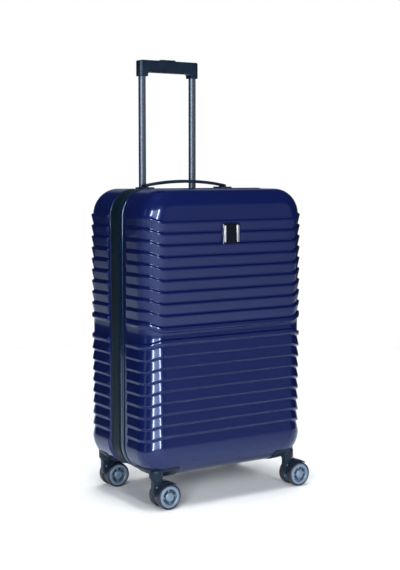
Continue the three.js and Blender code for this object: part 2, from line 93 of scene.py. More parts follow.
WHEEL_R = 27.5
TRAIL = 22  # from a caster's swivel to its axle
CASTER_X, CASTER_Y = 174, 110
SIDES = {"left": -1, "right": 1}


def node_box(name):
    """Lowest and highest corner of a CAD node in millimetres from the case's own middle."""
    low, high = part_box(name)
    return (low - CENTRE) / MM, (high - CENTRE) / MM


# ---------- mesh helpers ----------

def to_scene(point):
    return Vector(point) * MM + CENTRE


def new_object(name, data):
    obj = bpy.data.objects.new(name, data)
    bpy.context.scene.collection.objects.link(obj)
    return obj


def sharpen(obj, angle):
    """Marks the edges where faces meet by more than an angle in degrees."""
    obj.data.set_sharp_from_angle(angle=math.radians(angle))


def mesh_object(name, points, faces, smooth_angle):
    """A mesh from points in case millimetres, smooth except where faces meet more sharply."""
    mesh = bpy.data.meshes.new(name)
    mesh.from_pydata([to_scene(p) for p in points], [], faces)
    mesh.validate()
    return finish_mesh(name, mesh, smooth_angle)


def finish_mesh(name, mesh, smooth_angle=40):
    """Joins doubled points, turns the faces outward and puts the mesh in the scene."""
    bm = bmesh.new()
    bm.from_mesh(mesh)
    bmesh.ops.remove_doubles(bm, verts=bm.verts, dist=1e-6)
    bmesh.ops.recalc_face_normals(bm, faces=bm.faces)
    bm.to_mesh(mesh)
    bm.free()
    mesh.polygons.foreach_set("use_smooth", [True] * len(mesh.polygons))
    obj = new_object(name, mesh)
    sharpen(obj, smooth_angle)
    return obj


def loft(name, rings, closed=True, smooth_angle=40):
    """Skin over rings with equal point counts. closed joins the last ring to the first, otherwise
    both ends are capped with one face each."""
    n = len(rings[0])
    count = len(rings)
    faces = []
    for k in range(count if closed else count - 1):
        for i in range(n):
            j = (i + 1) % n
            a, b = k * n, ((k + 1) % count) * n
            faces.append((a + i, a + j, b + j, b + i))
    if not closed:
        faces.append(tuple(range(n)))
        faces.append(tuple(range((count - 1) * n, count * n)))
    return mesh_object(name, [p for ring in rings for p in ring], faces, smooth_angle)


def rounded(half_a, half_b, r, steps):
    """A rounded rectangle about the origin as a list of 2D points."""
    points = []
    for quarter, (sa, sb) in enumerate([(1, 1), (-1, 1), (-1, -1), (1, -1)]):
        for k in range(steps + 1):
            turn = (quarter + k / steps) * math.pi / 2
            points.append((sa * (half_a - r) + r * math.cos(turn),
                           sb * (half_b - r) + r * math.sin(turn)))
    return points


def rounded_at(x, y, half_a, half_b, r, steps=6):
    """The same rounded rectangle about another point."""
    return [(x + a, y + b) for a, b in rounded(half_a, half_b, r, steps)]


def grid_faces(rows):
    """Four-sided faces between neighbouring rows of point numbers."""
    return [(upper[i], upper[i + 1], lower[i + 1], lower[i])
            for upper, lower in zip(rows, rows[1:]) for i in range(len(upper) - 1)]


def add_skin(points, faces, left_rows):
    """Adds rows, each a left half and its mirror image, and closes the first and last across the
    case. Returns each row's point numbers."""
    rows = []
    for left in left_rows:
        start = len(points)
        points.extend(left + [(-x, y, z) for x, y, z in reversed(left)])
        rows.append(range(start, len(points)))
    faces.extend(grid_faces(rows))
    for row in (rows[0], rows[-1]):
        for i in range(len(row) // 2 - 1):
            faces.append((row[i], row[i + 1], row[-2 - i], row[-1 - i]))
    return rows


def slab(name, outline, low, high, axis="z", bevel=0, segments=3):
    """An outline of 2D points raised along an axis, its edges rounded by bevel."""
    place = {
        "z": lambda a, b, c: (a, b, c),
        "y": lambda a, b, c: (a, c, b),
        "x": lambda a, b, c: (c, a, b),
    }[axis]
    rings = [[place(a, b, c) for a, b in outline] for c in (low, high)]
    obj = loft(name, rings, closed=False, smooth_angle=180)
    if bevel:
        add_bevel(obj, bevel, segments)
    apply_modifiers(obj)
    sharpen(obj, 40)
    return obj


def add_bevel(obj, width, segments, angle=30):
    modifier = obj.modifiers.new("round", "BEVEL")
    modifier.width = width * MM
    modifier.segments = segments
    modifier.angle_limit = math.radians(angle)


def evaluated_mesh(obj):
    """A new mesh of an object with its modifiers, or of a text object."""
    bpy.context.view_layer.update()
    graph = bpy.context.evaluated_depsgraph_get()
    return bpy.data.meshes.new_from_object(obj.evaluated_get(graph))


def apply_modifiers(obj):
    mesh = evaluated_mesh(obj)
    mesh.name = obj.name
    old = obj.data
    obj.modifiers.clear()
    obj.data = mesh
    bpy.data.meshes.remove(old)


def add_boolean(obj, tool, operation):
    modifier = obj.modifiers.new("shape", "BOOLEAN")
    modifier.operation = operation
    modifier.solver = "EXACT"
    modifier.object = tool


def cut(obj, *tools):
    """Cuts the tools out of a mesh. The tools are used up."""
    for tool in tools:
        add_boolean(obj, tool, "DIFFERENCE")
    apply_modifiers(obj)
    for tool in tools:
        bpy.data.objects.remove(tool)


def trim(tool, *objects):
    """Keeps only what lies inside the tool, which is used up."""
    for obj in objects:
        add_boolean(obj, tool, "INTERSECT")
        apply_modifiers(obj)
    bpy.data.objects.remove(tool)


def thicken(obj, thickness):
    """Gives a cloth surface its thickness, half of it to each side."""
    modifier = obj.modifiers.new("cloth", "SOLIDIFY")
    modifier.thickness = thickness * MM
    modifier.offset = 0
    apply_modifiers(obj)


def merge(name, *objects):
    """Joins several meshes into one object, keeping their materials."""
    with bpy.context.temp_override(
            active_object=objects[0], selected_editable_objects=list(objects), object=objects[0]):
        bpy.ops.object.join()
    objects[0].name = name
    objects[0].data.name = name
    return objects[0]


def smoothstep(t, low=0.0, high=1.0):
    """0 below low, 1 above high, and a smooth rise between them."""
    t = min(1, max(0, (t - low) / (high - low)))
    return t * t * (3 - 2 * t)


def spread(low, high, count):
    """Evenly spaced values from low to high, both included."""
    return [low + (high - low) * k / (count - 1) for k in range(count)]


# ---------- materials ----------

def set_inputs(node, values):
    for socket, value in values.items():
        node.inputs[socket].default_value = value
    return node


def material(name, color, roughness, metallic=0.0, coat=0.0, coat_roughness=0.05, shade=0.12,
             shade_scale=40, rough_spread=0.08, bump=0.0, bump_scale=1500, bump_kind="noise",
             bump_depth=0.05, sheen=0.0, specular=0.5, tint=(1, 1, 1)):
    """A procedural finish: two shades of a colour and a roughness that wander with noise, and a
    fine relief of noise or weave. Scales are per metre, bump_depth is in millimetres."""
    made = bpy.data.materials.new(name)
    made.use_nodes = True
    nodes, links = made.node_tree.nodes, made.node_tree.links
    shader = set_inputs(nodes["Principled BSDF"], {
        "Metallic": metallic, "Sheen Weight": sheen, "Specular IOR Level": specular,
        "Specular Tint": (*tint, 1), "Coat Weight": coat, "Coat Roughness": coat_roughness,
        "Coat Tint": (*tint, 1)})
    place = nodes.new("ShaderNodeTexCoord")
    noise = set_inputs(nodes.new("ShaderNodeTexNoise"), {"Scale": shade_scale, "Detail": 6})
    links.new(place.outputs["Object"], noise.inputs["Vector"])
    noise_low, noise_high = 0.3, 0.7
    ramp = nodes.new("ShaderNodeValToRGB")
    dark, light = ramp.color_ramp.elements
    dark.position, light.position = noise_low, noise_high
    dark.color = (*[c * (1 - shade) for c in color], 1)
    light.color = (*[min(1, c * (1 + shade)) for c in color], 1)
    links.new(noise.outputs["Fac"], ramp.inputs["Fac"])
    links.new(ramp.outputs["Color"], shader.inputs["Base Color"])
    rough = set_inputs(nodes.new("ShaderNodeMapRange"), {
        "From Min": noise_low, "From Max": noise_high,
        "To Min": max(0.02, roughness * (1 - rough_spread)),
        "To Max": min(1, roughness * (1 + rough_spread))})
    links.new(noise.outputs["Fac"], rough.inputs["Value"])
    links.new(rough.outputs["Result"], shader.inputs["Roughness"])
    if bump:
        relief = set_inputs(nodes.new("ShaderNodeBump"),
                            {"Strength": bump, "Distance": bump_depth * MM})
        height = relief_pattern(nodes, links, place, bump_kind, bump_scale)
        links.new(height, relief.inputs["Height"])
        links.new(relief.outputs["Normal"], shader.inputs["Normal"])
        if coat:
            links.new(relief.outputs["Normal"], shader.inputs["Coat Normal"])
    return made


def relief_pattern(nodes, links, place, kind, scale):
    """Height for a bump: noise, or two crossed waves for a weave."""
    if kind == "noise":
        grain = set_inputs(nodes.new("ShaderNodeTexNoise"), {"Scale": scale, "Detail": 3})
        links.new(place.outputs["Object"], grain.inputs["Vector"])
        return grain.outputs["Fac"]
    waves = []
    for direction in ("Z", "DIAGONAL"):
        wave = set_inputs(nodes.new("ShaderNodeTexWave"), {"Scale": scale, "Distortion": 0.4})
        wave.bands_direction = direction
        links.new(place.outputs["Object"], wave.inputs["Vector"])
        waves.append(wave)
    both = nodes.new("ShaderNodeMath")
    both.operation = "MULTIPLY"
    links.new(waves[0].outputs["Fac"], both.inputs[0])
    links.new(waves[1].outputs["Fac"], both.inputs[1])
    return both.outputs["Value"]


FINISH = {
    "shell": material(
        "shell_gloss", (0.005, 0.009, 0.058), 0.26, metallic=0.2, coat=0.55, coat_roughness=0.03,
        shade=0.03, shade_scale=3, rough_spread=0.03, bump=0.08, bump_scale=600, bump_depth=0.015,
        specular=0.3, tint=(0.56, 0.76, 1)),
    "black_plastic": material(
        "black_nylon", (0.006, 0.012, 0.025), 0.36, shade=0.25, bump=0.35, bump_scale=2200,
        bump_depth=0.04, specular=0.25, tint=(0.7, 0.85, 1)),
    "piping": material(
        "piping_gloss", (0.006, 0.012, 0.03), 0.2, coat=1.0, shade=0.15, bump=0.1, bump_scale=700,
        bump_depth=0.03, tint=(0.5, 0.78, 1)),
    "zip_fabric": material(
        "zip_tape_weave", (0.002, 0.007, 0.013), 0.5, shade=0.2, shade_scale=200, bump=0.6,
        bump_scale=420, bump_kind="weave", bump_depth=0.12, specular=0.2, tint=(0.45, 0.75, 1)),
    "webbing": material(
        "webbing_weave", (0.02, 0.024, 0.034), 0.7, shade=0.3, shade_scale=300, bump=0.9,
        bump_scale=300, bump_kind="weave", bump_depth=0.3, sheen=0.3),
    "lining": material(
        "lining_cloth", (0.13, 0.14, 0.18), 0.8, shade=0.12, shade_scale=25, bump=0.6,
        bump_scale=900, bump_kind="weave", bump_depth=0.12, sheen=0.4),
    "mesh_panel": material(
        "divider_cloth", (0.05, 0.055, 0.075), 0.8, shade=0.15, shade_scale=60, bump=0.7,
        bump_scale=600, bump_kind="weave", bump_depth=0.15, sheen=0.3),
    "tube": material(
        "tube_anodised", (0.11, 0.135, 0.18), 0.5, metallic=0.9, shade=0.04, shade_scale=3,
        rough_spread=0.01),
    "steel": material(
        "plain_steel", (0.42, 0.44, 0.47), 0.35, metallic=1.0, shade=0.1, bump=0.2,
        bump_scale=1800, bump_depth=0.02),
    "zinc": material(
        "dark_zinc", (0.13, 0.145, 0.17), 0.32, metallic=1.0, shade=0.15, bump=0.2,
        bump_depth=0.03),
    "hub": material(
        "hub_silver", (0.15, 0.215, 0.30), 0.34, metallic=0.55, coat=0.3, shade=0.08, bump=0.2,
        bump_scale=1600, bump_depth=0.03),
    "tyre": material(
        "tyre_urethane", (0.008, 0.012, 0.022), 0.42, shade=0.25, bump=0.4, bump_scale=900,
        bump_depth=0.06),
    "chrome": material(
        "badge_chrome", (0.80, 0.84, 0.92), 0.3, metallic=1.0, shade=0.04, bump=0.05,
        bump_scale=1200, bump_depth=0.01),
    "badge": material(
        "badge_black", (0.003, 0.004, 0.007), 0.2, shade=0.2, bump=0.05, bump_scale=1200,
        bump_depth=0.01, specular=0.15),
}

SLOT_OF = {row["node"]: row["material_slot"] for row in frame["record"]["subparts"]}
for node, cad_object in frame["nodes"].items():
    cad_object.data.materials.clear()
    cad_object.data.materials.append(FINISH[SLOT_OF[node]])


def piece(obj, body, slot, replaces=()):
    """Gives a finished piece its material, its body and the CAD nodes it stands for."""
    obj.data.materials.clear()
    obj.data.materials.append(FINISH[slot])
    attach(obj, body)
    if replaces:
        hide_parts(*replaces)


# ---------- the half shells ----------

def rib_levels():
    """The ribbed part from the top down, as (height on the sides, how far the rib stands out,
    how much higher it is on the front)."""
    levels = []

    def ledge(z, above, below, slant):
        for u in (0, 0.12, 0.28, 0.5, 0.72, 0.88, 1):
            levels.append((z + LEDGE * (0.5 - u), above + (below - above) * smoothstep(u), slant))

    def plank(z, start, end, length, slant):
        for u in (0.15, 0.5, 0.85):
            levels.append((z - LEDGE / 2 - length * u, start + (end - start) * u, slant))

    run = PITCH - LEDGE
    for k in range(UPPER_RIBS):
        z = FIRST_LEDGE - k * PITCH
        ledge(z, 0, RIB, -FRONT_DROP)
        if k < UPPER_RIBS - 1:
            plank(z, RIB, 0, run, -FRONT_DROP)
    ledge(FIRST_LEDGE - (UPPER_RIBS - 1) * PITCH - BEAD, RIB, 0, -FRONT_DROP)
    top_of_lower = LAST_LEDGE + (LOWER_RIBS - 1) * PITCH
    ledge(top_of_lower + BEAD, 0, RIB, FRONT_RISE)
    for k in range(LOWER_RIBS):
        z = top_of_lower - k * PITCH
        ledge(z, RIB, 0, FRONT_RISE)
        plank(z, 0, RIB, run, FRONT_RISE)
    levels.append((LAST_LEDGE - PITCH, RIB, FRONT_RISE))
    return levels


def shell_levels():
    """Every level of a shell, top to bottom, as (kind, angle or height, rib, slant)."""
    angles = [3, 7, 12] + list(range(18, 81, 6))
    top = [("top", math.radians(a), 0, 0) for a in angles]
    low = [("low", math.radians(a), RIB, 0) for a in reversed(angles)]
    return top + [("rib", *row) for row in rib_levels()] + low


def leg(longest, other):
    """The third side of a right-angled triangle."""
    return math.sqrt(max(0, longest ** 2 - other ** 2))


def corner_point(turn, depth, radius, grow, face=FACE_Y):
    """x and y on the upright edge's rounding, at a depth from the case's top or bottom. radius is
    that of the case's corner, and grow moves the whole outline outward."""
    edge = EDGE_R + grow
    inset = min(edge, depth) * (1 - math.cos(turn))
    x = HALF_W + grow - inset
    if depth < radius:
        x = HALF_W + grow - radius + leg(radius - inset, radius - depth)
    return x, face + grow - edge + leg(edge, edge - inset)


def half_ring(side, rim, level, inner):
    """The left half of one level's outline, from the rim to the middle of the face. side is -1 for
    the front shell. The inside has no ribs: it only widens below the lowest one."""
    kind, value, rib, slant = level
    slant = slant if side < 0 else 0
    stands_out = rib
    if inner and kind == "rib":
        below_ribs = (LAST_LEDGE - LEDGE / 2 - value) / (PITCH - LEDGE / 2)
        stands_out = RIB * min(1, max(0, below_ribs))
    wall, lip = (WALL, 0) if inner else (0, LIP_R)
    grow = stands_out - wall
    if kind == "rib":
        z, depth, radius, normal = value, PAST_ROUNDING, FACE_R, (1, 0)
    else:
        radius = FACE_R + grow
        depth = radius * (1 - math.cos(value))
        if kind == "top":
            z, normal = SHELL_TOP - wall - depth, (math.sin(value), math.cos(value))
        else:
            z, normal = SHELL_BOTTOM + wall + depth, (math.sin(value), -math.cos(value))
    flange, full = FRONT_RIB_ENDS if side < 0 else BACK_RIB_ENDS
    widest = corner_point(0, depth, radius, grow)[0]
    points = []
    apart = 0.01  # keeps the inside's points, which have no lip, from joining
    for k in range(4):
        turn = k / 3 * math.pi / 2
        drop, along = lip * (1 - math.sin(turn)), lip * (1 - math.cos(turn))
        points.append((widest - stands_out - drop * normal[0], rim + along + apart * k,
                       z - drop * normal[1]))
    for along in (2.2, flange, flange + 0.9, *spread(flange + 2, full - 1, 5),
                  full - 0.3, full + 1.2):
        points.append((widest - stands_out * (1 - smoothstep(along, flange, full)), rim + along, z))
    points += [(widest, y, z) for y in spread(rim + full + 4, FACE_Y - EDGE_R - 2, 4)]
    steps = 22
    for k in range(steps + 1):
        x, y = corner_point(k / steps * math.pi / 2, depth, radius, grow)
        points.append((x, y, z + slant * smoothstep(k / steps, 1 / 3, 1)))
    last_x, last_y, last_z = points[-1]
    points += [(last_x * share, last_y, last_z) for share in (0.97, 0.85, 0.5, 0.15)]
    return [(-x, side * y, z) for x, y, z in points]


def shell_object(name, side, rim):
    """A closed half shell: ribbed outside, plain inside, with a rounded rim."""
    levels = shell_levels()
    points, faces, rims = [], [], []
    for inner in (False, True):
        rows = add_skin(points, faces, [half_ring(side, rim, level, inner) for level in levels])
        rims.append([row[0] for row in rows] + [row[-1] for row in reversed(rows)])
    outside, inside = rims
    for i in range(len(outside)):
        j = (i + 1) % len(outside)
        faces.append((outside[i], outside[j], inside[j], inside[i]))
    return mesh_object(name, points, faces, smooth_angle=50)


def block(x0, x1, y0, y1, z0, z1, r):
    """A cutting tool: a box with rounded upright edges."""
    outline = rounded_at((x0 + x1) / 2, (y0 + y1) / 2, (x1 - x0) / 2, (y1 - y0) / 2, r, 4)
    return slab("tool", outline, z0, z1)


tray_low, tray_high = node_box("trolley_housing")


def build_shells():
    """Both half shells, the back one with a notch for the handle's tray."""
    piece(shell_object("front_shell_moulding", -1, FRONT_RIM), "front", "shell", ["front_shell"])
    back = shell_object("back_shell_moulding", 1, BACK_RIM)
    gap = 0.3
    notch = block(tray_low.x - gap, tray_high.x + gap, tray_low.y - gap, tray_high.y + 20,
                  tray_low.z - gap, SHELL_TOP + 10, 4)
    cut(back, notch)
    sharpen(back, 50)
    piece(back, "back", "shell", ["back_shell"])


# ---------- the zip band ----------

def hoop_path(steps=14, straight=8):
    """(x, z, outward x, outward z) round the case where the band runs. steps is the number of
    parts in each corner, straight in each length between them."""
    longest_step = 60
    path = []
    for quarter in range(4):
        r = FACE_R if quarter < 2 else FACE_R + RIB
        cx = (HALF_W - r) * (1 if quarter in (0, 3) else -1)
        cz = SHELL_TOP - r if quarter < 2 else SHELL_BOTTOM + r
        for k in range(steps + 1):
            turn = (quarter + k / steps) * math.pi / 2
            c, s = math.cos(turn), math.sin(turn)
            path.append((cx + r * c, cz + r * s, c, s))
    full = []
    for i, here in enumerate(path):
        after = path[(i + 1) % len(path)]
        full.append(here)
        if math.hypot(after[0] - here[0], after[1] - here[1]) > longest_step:
            for k in range(1, straight):
                full.append(tuple(a + (b - a) * k / straight for a, b in zip(here, after)))
    return full


def hoop(name, profile, smooth_angle=40):
    """A closed profile of (outward offset, y) carried round the case."""
    rings = [[(x + nx * off, y, z + nz * off) for off, y in profile]
             for x, z, nx, nz in hoop_path()]
    return loft(name, rings, smooth_angle=smooth_angle)


def along_hoop(pitch):
    """Evenly spaced places round the case: (x, z, outward x, outward z)."""
    path = hoop_path(40, 2)
    places = []
    left = 0.0
    for i, here in enumerate(path):
        after = path[(i + 1) % len(path)]
        length = math.hypot(after[0] - here[0], after[1] - here[1])
        while left < length:
            share = left / length if length else 0
            places.append(tuple(a + (b - a) * share for a, b in zip(here, after)))
            left += pitch
        left -= length
    return places


def studs(name, pitch, offset, height, y0, y1, width):
    """Small blocks set round the band, such as zip teeth or stitches. width runs along the band."""
    sides = (0, 1, 2, 3), (4, 5, 6, 7), (0, 1, 5, 4), (1, 2, 6, 5), (2, 3, 7, 6), (3, 0, 4, 7)
    points, faces = [], []
    for x, z, nx, nz in along_hoop(pitch):
        start = len(points)
        for off, taper in ((offset, 0), (offset + height, 0.125 * width)):
            for along, y in ((-1, y0 + taper), (1, y0 + taper), (1, y1 - taper), (-1, y1 - taper)):
                t = along * (width / 2 - taper)
                points.append((x + nx * off - nz * t, y, z + nz * off + nx * t))
        faces += [tuple(start + i for i in side) for side in sides]
    return mesh_object(name, points, faces, smooth_angle=20)


def build_band():
    """The two zip tapes, the ridges of the wide one, the piping, teeth and stitching. Offsets
    are outward from the case's plain side, so those inside it are negative."""
    tape_in, tape_out, tooth_floor, fold = -4.3, -3.1, -2.2, -1.5
    half_gap = 0.3
    front = [(tape_in, -FRONT_RIM - 10), (tape_out, -FRONT_RIM - 10), (tape_out, SEAM_Y - 5.6),
             (-1.9, SEAM_Y - 5.2), (fold, SEAM_Y - 4.8), (fold, SEAM_Y - 2.6),
             (tooth_floor, SEAM_Y - 2.3), (tooth_floor, SEAM_Y - half_gap),
             (tape_in, SEAM_Y - half_gap)]
    piece(hoop("zip_tape_front_weave", front), "front", "zip_fabric", ["zip_tape_front"])
    band = [(tape_in, SEAM_Y + half_gap), (tooth_floor, SEAM_Y + half_gap),
            (tooth_floor, SEAM_Y + 2.3), (-0.9, SEAM_Y + 2.7)]
    ridges, valley, crest = 5, -0.55, -0.35
    start, end = SEAM_Y + 3.4, BACK_RIM - 3.2
    step = (end - start) / ridges
    for k in range(ridges):
        y = start + k * step
        band += [(valley, y), (crest, y + step * 0.25), (crest, y + step * 0.7),
                 (valley, y + step * 0.92)]
    band += [(-0.6, end + 0.4), (-1.6, end + 1.2), (tape_out, BACK_RIM - 1.4),
             (tape_out, BACK_RIM + 8), (tape_in, BACK_RIM + 8)]
    piece(hoop("zip_band_back_weave", band, 30), "back", "zip_fabric", ["zip_tape_back"])
    foot, base, bulge, bead_y, bead_half = -2.8, -1.6, 3.0, SEAM_Y - 11.2, 5.4
    piping = [(foot, SEAM_Y - 5.9), (foot, SEAM_Y - 16.5)]
    for k in range(13):
        turn = math.pi * (1 - k / 12)
        piping.append((base + bulge * math.sin(turn) ** 0.8, bead_y + bead_half * math.cos(turn)))
    piece(hoop("piping_bead", piping, 60), "front", "piping", ["piping_front"])
    for body, y0, y1 in (("front", -1.9, -0.35), ("back", 0.35, 1.9)):
        teeth = studs(f"zip_teeth_{body}", 2.6, tooth_floor, 1.0, SEAM_Y + y0, SEAM_Y + y1, 1.4)
        piece(teeth, body, "black_plastic")
    stitches = studs("band_stitching", 4.2, -0.5, 0.35, BACK_RIM - 5.2, BACK_RIM - 4.5, 2.9)
    piece(stitches, "back", "webbing")


# ---------- the pull-out handle ----------

def tube(name, x, y, half_x, half_y, r, wall, z0, z1):
    """An open tube of rounded section, with its wall. Rings at short steps keep the long faces
    of its outside evenly lit."""
    longest_step = 12
    outside = rounded_at(x, y, half_x, half_y, r, 8)
    inside = rounded_at(x, y, half_x - wall, half_y - wall, max(0.5, r - wall), 8)
    count = math.ceil((z1 - z0) / longest_step)
    rings = [[(a, b, z0 + (z1 - z0) * k / count) for a, b in outside] for k in range(count + 1)]
    rings += [[(a, b, z) for a, b in inside] for z in (z1, z0)]
    return loft(name, rings, smooth_angle=60)


def grip_outline(half, top, under, legs, inside):
    """The grip from the front as (x, z): a bar with two end legs and rounded outer corners."""
    r, inner_r = 8, 5
    points = [(-half + 1, legs), (-inside, legs)]
    for k in range(5):
        turn = math.pi * (1 - k / 8)
        points.append((-inside + inner_r + inner_r * math.cos(turn),
                       under - inner_r + inner_r * math.sin(turn)))
    points += [(-x, z) for x, z in reversed(points)]
    for k in range(7):
        turn = k / 12 * math.pi
        points.append((half - r + r * math.cos(turn), top - r + r * math.sin(turn)))
    corner = [(-x, z) for x, z in reversed(points[-7:])]
    return points + corner


def build_trolley():
    """The two drawn tubes, the grip across them and the button let into the grip's top."""
    for name, s in SIDES.items():
        low, high = node_box(f"trolley_tube_{name}")
        half_x, half_y = (high.x - low.x) / 2, (high.y - low.y) / 2
        drawn = tube(f"trolley_tube_{name}_drawn", s * TUBE_X, TUBE_Y, half_x, half_y,
                     r=5, wall=2, z0=low.z, z1=high.z)
        piece(drawn, "trolley", "tube", [f"trolley_tube_{name}"])
    low, high = node_box("trolley_grip")
    half, depth = high.x, (high.y - low.y) / 2
    bar_height, leg_inside, groove_x, groove_half = 9.5, 57.5, 59.5, 0.35
    outline = grip_outline(half, high.z, low.z + bar_height, low.z, leg_inside)
    bar = slab("grip_bar", outline, TUBE_Y - depth, TUBE_Y + depth, "y")
    plan = slab("tool", rounded_at(0, TUBE_Y, half, depth, 9, 10), low.z - 2, high.z + 2)
    trim(plan, bar)
    add_bevel(bar, 2.2, 4, 35)
    apply_modifiers(bar)
    window_x, window_y = BUTTON_X + 0.3, BUTTON_Y + 0.3
    window = block(-window_x, window_x, TUBE_Y - window_y, TUBE_Y + window_y,
                   high.z - 6, high.z + 5, 4)
    grooves = [block(s * groove_x - groove_half, s * groove_x + groove_half, TUBE_Y - depth - 5,
                     TUBE_Y - depth + 0.5, low.z - 5, high.z + 5, 0.2) for s in SIDES.values()]
    cut(bar, window, *grooves)
    sharpen(bar, 45)
    piece(bar, "trolley", "black_plastic", ["trolley_grip"])
    low, high = node_box("grip_button")
    button = slab("grip_button_cap", rounded_at(0, TUBE_Y, BUTTON_X, BUTTON_Y, 4), low.z, high.z,
                  bevel=1.2, segments=4)
    piece(button, "button", "black_plastic", ["grip_button"])


def build_housing():
    """The tray in the back shell's top that the handle sinks into, with a hole for each tube."""
    body = slab("tray_body", rounded_at(0, (tray_low.y + tray_high.y) / 2, tray_high.x,
                                        (tray_high.y - tray_low.y) / 2, 4, 5),
                tray_low.z, tray_high.z)
    trim(slab("tool", tray_section(), -tray_high.x - 5, tray_high.x + 5, "x"), body)
    pocket = block(-82.5, 82.5, tray_low.y + 3, tray_high.y + 40, tray_low.z + 4, SHELL_TOP + 10, 5)
    holes = [slab("tool", rounded_at(s * TUBE_X, TUBE_Y, 8.3, 6.8, 5.3),
                  tray_low.z - 2, tray_low.z + 10) for s in SIDES.values()]
    cut(body, pocket, *holes)
    sharpen(body, 35)
    piece(body, "back", "black_plastic", ["trolley_housing"])


def tray_section():
    """The shell's rounded top rear edge from the side as (y, z), a little outside the shell."""
    grow, inner_y, lowest = 1, 60, 600
    r = EDGE_R + grow
    points = [(inner_y, SHELL_TOP + grow)]
    for k in range(13):
        turn = math.pi / 2 * (1 - k / 12)
        points.append((FACE_Y - EDGE_R + r * math.cos(turn),
                       SHELL_TOP - EDGE_R + r * math.sin(turn)))
    return points + [(FACE_Y + grow, lowest), (inner_y, lowest)]


# ---------- the carry handle ----------

def build_carry():
    """A flat strap that arches over the case's top, thickest in the middle, with a neck and a
    foot at each end that reach into its mounts."""
    low, high = node_box("carry_handle")
    middle_y = (low.y + high.y) / 2
    half_y = (high.y - low.y) / 2
    reach, foot_x, underside, rise, thin, swell = 107, 104, 679.4, 8.4, 4.6, 2.4
    rings = []
    for u in spread(-1, 1, 41):
        arch = 1 - u * u
        thick = thin + swell * arch
        z = underside + rise * arch + thick / 2
        half = half_y * (0.93 + 0.07 * abs(u))
        section = rounded(half, thick / 2, min(2.2, thick / 2 - 0.1), 4)
        rings.append([(u * reach, middle_y + a, z + b) for a, b in section])
    parts = [loft("carry_strap", rings, closed=False, smooth_angle=50)]
    for s in SIDES.values():
        for half_x, z0, z1 in ((3, low.z + 1, 680.5), (7, low.z, low.z + 3)):
            end = rounded_at(s * foot_x, middle_y, half_x, half_y, 1, 5)
            parts.append(slab("end", end, z0, z1, bevel=0.5))
    piece(merge("carry_strap", *parts), "carry", "black_plastic", ["carry_handle"])


build_shells()
build_band()
build_trolley()
build_housing()
build_carry()


# ---------- casters ----------

def lathe(name, profile, place, steps):
    """Turns a closed profile of (radius, along) round an axis. place maps (u, v, along) to
    the case."""
    rings = []
    for k in range(steps):
        turn = 2 * math.pi * k / steps
        rings.append([place(r * math.cos(turn), r * math.sin(turn), a) for r, a in profile])
    return loft(name, rings, smooth_angle=35)


def caster_frame(corner):
    """Local (trail, across, z) to case millimetres for a caster. across runs along its axle."""
    x = CASTER_X * (-1 if corner.endswith("left") else 1)
    y = CASTER_Y * (-1 if corner.startswith("front") else 1)
    low, high = node_box(f"axle_{corner}")
    size = high - low
    if size.y > size.x:
        return lambda u, v, w: (x + u, y + v, w)
    return lambda u, v, w: (x - v, y + u, w)


# Closed outlines of (radius, distance from the caster's middle along its axle).
HUB_PROFILE = [
    (3.25, 8), (23.6, 8), (23.6, 20.6), (23.2, 21.3), (22.3, 21.7), (17.6, 21.7), (16.9, 21.3),
    (16.4, 20.4), (16, 17.5), (9.7, 17.5), (9.5, 20.9), (9, 21.4), (8.2, 21.6), (4.5, 21.9),
    (3.25, 21.9)]
TYRE_PROFILE = [
    (23.9, 8), (23.9, 21.4), (24.5, 21.9), (25.6, 21.9), (26.6, 21.2), (27.2, 20), (27.45, 18.2),
    (WHEEL_R, 15), (27.45, 11.6), (27.2, 9.6), (26.6, 8.4), (25.6, 7.7), (24.5, 7.6)]
AXLE_CAP_PROFILE = [(0.02, 21), (3.2, 21), (3.2, 21.6), (2.6, 22), (0.02, 22.1)]
RIVET_PROFILE = [(0.02, 0), (1.8, 0), (1.8, 0.36), (1.44, 0.72), (0.72, 0.9), (0.02, 0.9)]


def sector(r0, r1, start, end):
    """Outline of a ring sector between two radii and two angles in degrees."""
    turns = [math.radians(t) for t in spread(start, end, 8)]
    return ([(r1 * math.cos(t), r1 * math.sin(t)) for t in turns]
            + [(r0 * math.cos(t), r0 * math.sin(t)) for t in reversed(turns)])


def build_wheel(corner, side, where):
    """A hub with four windows between its spokes, its tyre, and the cap over the axle's end."""
    at = caster_frame(corner)

    def place(u, v, a):
        return at(TRAIL + u, side * a, WHEEL_R + v)

    window_starts, window_ends = 13, 87
    wheel = f"{corner}_{where}"
    body = f"wheel_{wheel}"
    hub = lathe("hub", HUB_PROFILE, place, 64)
    windows = []
    for k in range(4):
        outline = sector(9.8, 15.8, 90 * k + window_starts, 90 * k + window_ends)
        rings = [[place(u, v, a) for u, v in outline] for a in (7, 24)]
        windows.append(loft("tool", rings, closed=False))
    cut(hub, *windows)
    sharpen(hub, 35)
    hub.name = f"hub_{wheel}_spoked"
    piece(hub, body, "hub", [f"hub_{wheel}"])
    tyre = lathe(f"tyre_{wheel}_rounded", TYRE_PROFILE, place, 64)
    piece(tyre, body, "tyre", [f"tyre_{wheel}"])
    piece(lathe(f"axle_cap_{wheel}", AXLE_CAP_PROFILE, place, 24), body, "hub")


def soften(node, name, body, slot, width, segments, angle):
    """A copy of a CAD part with every sharp edge rounded, which then stands for it."""
    source = frame["nodes"][node]
    mesh = source.data.copy()
    mesh.transform(source.matrix_world)
    bm = bmesh.new()
    bm.from_mesh(mesh)
    bmesh.ops.remove_doubles(bm, verts=bm.verts, dist=2e-6)
    bmesh.ops.dissolve_limit(bm, angle_limit=math.radians(1), verts=bm.verts, edges=bm.edges)
    bm.to_mesh(mesh)
    bm.free()
    obj = finish_mesh(name, mesh)
    add_bevel(obj, width, segments, angle)
    apply_modifiers(obj)
    sharpen(obj, angle)
    piece(obj, body, slot, [node])


